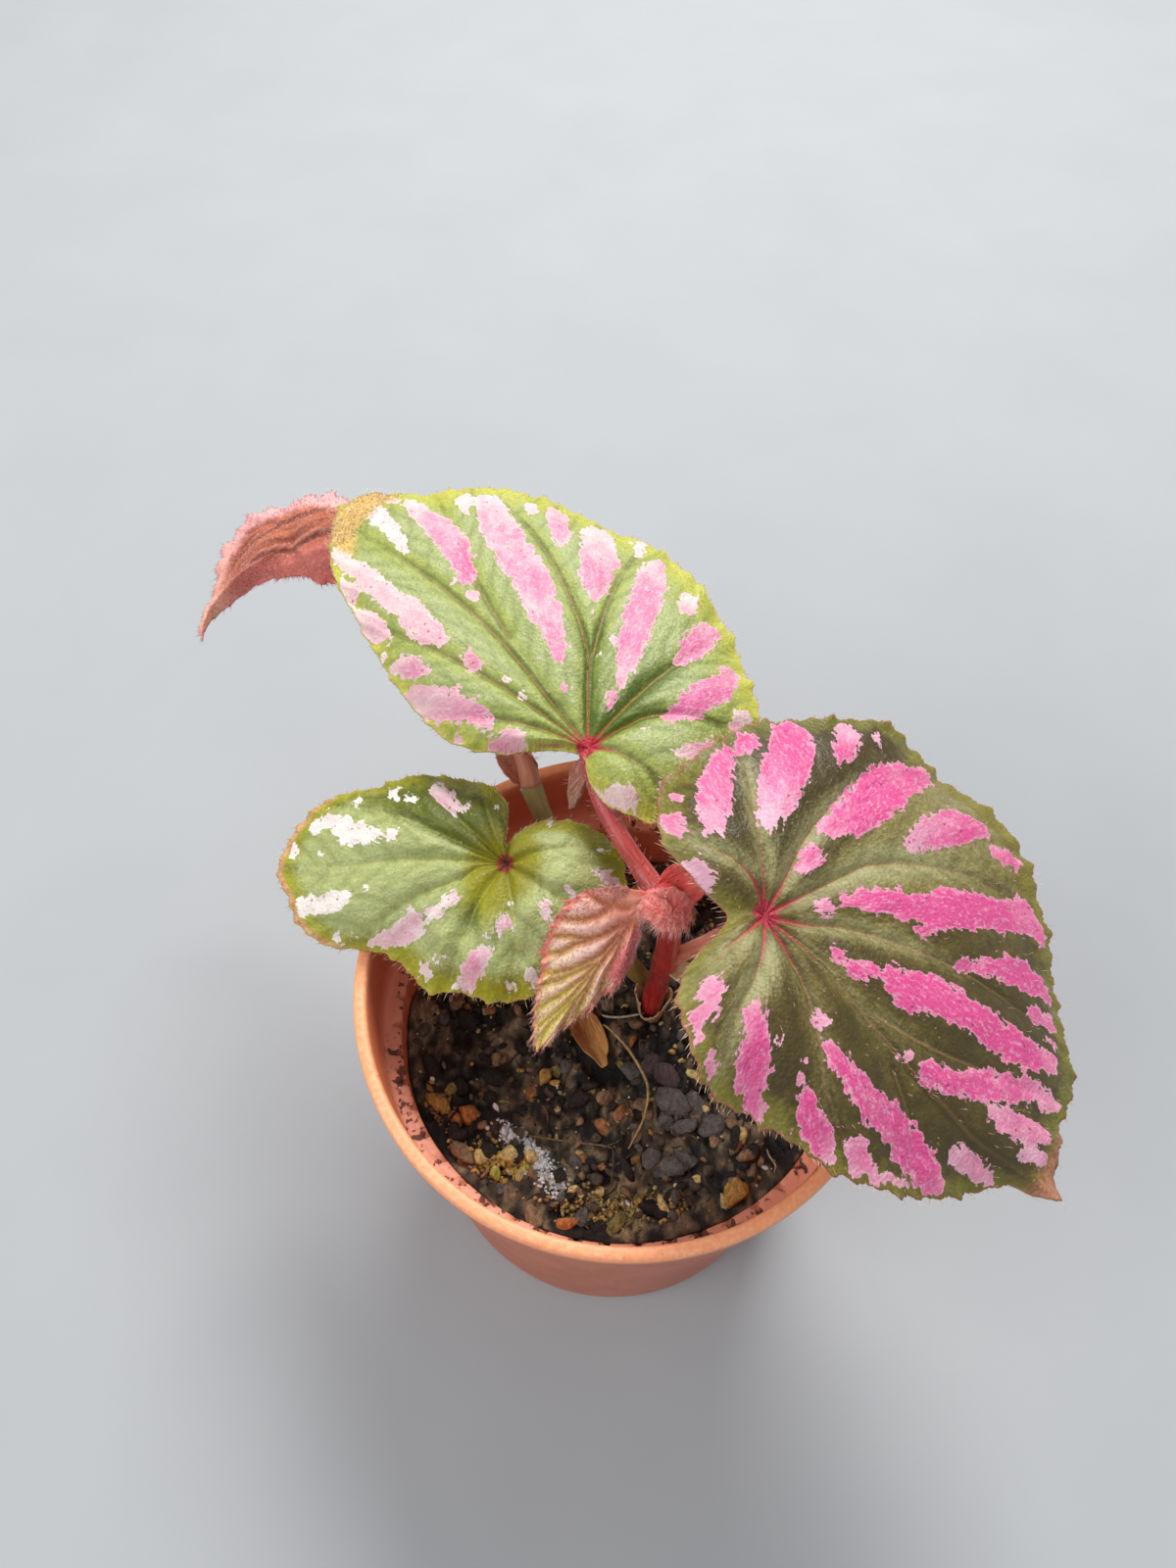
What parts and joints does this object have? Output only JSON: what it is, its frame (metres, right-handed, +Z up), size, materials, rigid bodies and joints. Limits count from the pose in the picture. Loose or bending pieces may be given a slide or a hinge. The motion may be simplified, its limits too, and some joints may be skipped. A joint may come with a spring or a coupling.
{
  "type": "potted begonia brevirimosa",
  "caption": "Young foliage begonia with pink-blotched, asymmetric toothed leaves on red stems, growing in a small round plastic nursery pot of dark potting mix.",
  "frame": {"origin": "centre of the pot's flat underside, on the surface that the pot stands on", "axes": "+Z up along the pot's axis, +X to the right and +Y away as seen from the picture's side"},
  "size_m": [0.1557, 0.1383, 0.1191],
  "materials": {
    "pot_plastic": "moulded, slightly dusty brick-red plastic",
    "potting_mix": "damp dark peat and bark with tan grains",
    "stem_red": "smooth, slightly translucent, with fine hairs",
    "stem_green": "smooth yellow-green skin flushed with red",
    "petiole_pink": "smooth, hairy, dusty pink to coral red",
    "leaf_light": "silvery sheen, light green with pink blotches",
    "leaf_dark": "silvery sheen, bronze olive with hot pink blotches",
    "leaf_red": "brownish red, hairy, with pink marks",
    "leaf_new": "pale pink pleats with golden-olive veins, densely hairy",
    "bud": "pink-red, thickly covered in long hairs",
    "bract": "thin, papery, translucent"
  },
  "bodies": {
    "root": {"pot": "pot_plastic", "soil": "potting_mix", "main_stem": "stem_red", "side_cane": "stem_green", "petiole_right": "petiole_pink", "petiole_left": "stem_green", "petiole_back": "petiole_pink", "petiole_drooping": "stem_red", "petiole_young": "petiole_pink", "leaf_back": "leaf_light", "leaf_right": "leaf_dark", "leaf_left": "leaf_light", "leaf_drooping": "leaf_red", "leaf_young": "leaf_new", "shoot_tip": "bud", "stem_sheath": "bract", "stipule_shoot": "bud", "stipule_cane": "bract", "stipule_hanging": "bract", "stipule_beige": "bract", "stipule_brown": "bract"}
  },
  "joints": []
}
